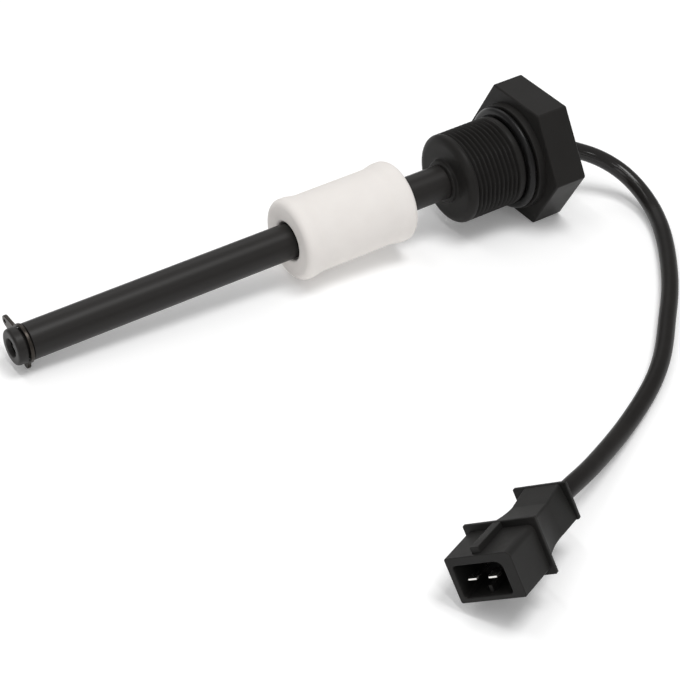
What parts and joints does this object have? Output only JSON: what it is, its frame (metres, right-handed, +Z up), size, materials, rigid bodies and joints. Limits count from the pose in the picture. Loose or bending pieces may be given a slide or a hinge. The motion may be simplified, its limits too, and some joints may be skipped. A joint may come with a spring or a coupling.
{
  "type": "coolant level sensor",
  "caption": "Float-type coolant level sensor: threaded hexagon plug with sealing ring, white float sliding on a black stem, short cable with a two-pin connector.",
  "frame": {"origin": "centre of the sensor's footprint on the surface it lies on, without its cable and connector", "axes": "+X from the stem's tip to the plug's head, +Z up, -Y towards the side where the cable and connector lie"},
  "size_m": [0.1957, 0.1664, 0.0365],
  "materials": {
    "plug": "moulded black glass-filled nylon, satin",
    "stem": "extruded black plastic, satin",
    "rubber": "black nitrile rubber, matt",
    "clip_steel": "dark spring steel",
    "float": "moulded off-white plastic, soft satin",
    "magnet": "sintered ferrite, dull",
    "reed_glass": "drawn glass, clear green tint",
    "tinned_metal": "bright tin plate on brass",
    "board": "green solder mask on laminate",
    "brown_core": "brown wire insulation",
    "blue_core": "blue wire insulation",
    "potting": "cast black resin, glossy",
    "cable_jacket": "extruded black cable jacket, satin to gloss",
    "connector": "moulded black nylon, fine matt texture"
  },
  "bodies": {
    "root": {"threaded_plug": "plug", "sealing_ring": "rubber", "stem_tube": "stem", "tip_plug": "stem", "retaining_clip": "clip_steel", "reed_switch": "reed_glass", "reed_lead_1": "tinned_metal", "reed_lead_2": "tinned_metal", "circuit_strip": "board", "core_wire_1": "brown_core", "core_wire_2": "blue_core", "potting_compound": "potting", "cable_grommet": "rubber", "cable": "cable_jacket", "connector_housing": "connector", "tab_terminal_1": "tinned_metal", "tab_terminal_2": "tinned_metal", "core_tail_1": "brown_core", "core_tail_2": "blue_core", "cable_seal": "rubber"},
    "float": {"float_body": "float", "float_magnet": "magnet"}
  },
  "joints": [
    {"name": "float_slide", "type": "slide", "parent": "root", "child": "float", "axis": [0.9977, 0, 0.0677], "range_m": [-0.07905, 0.015]}
  ]
}
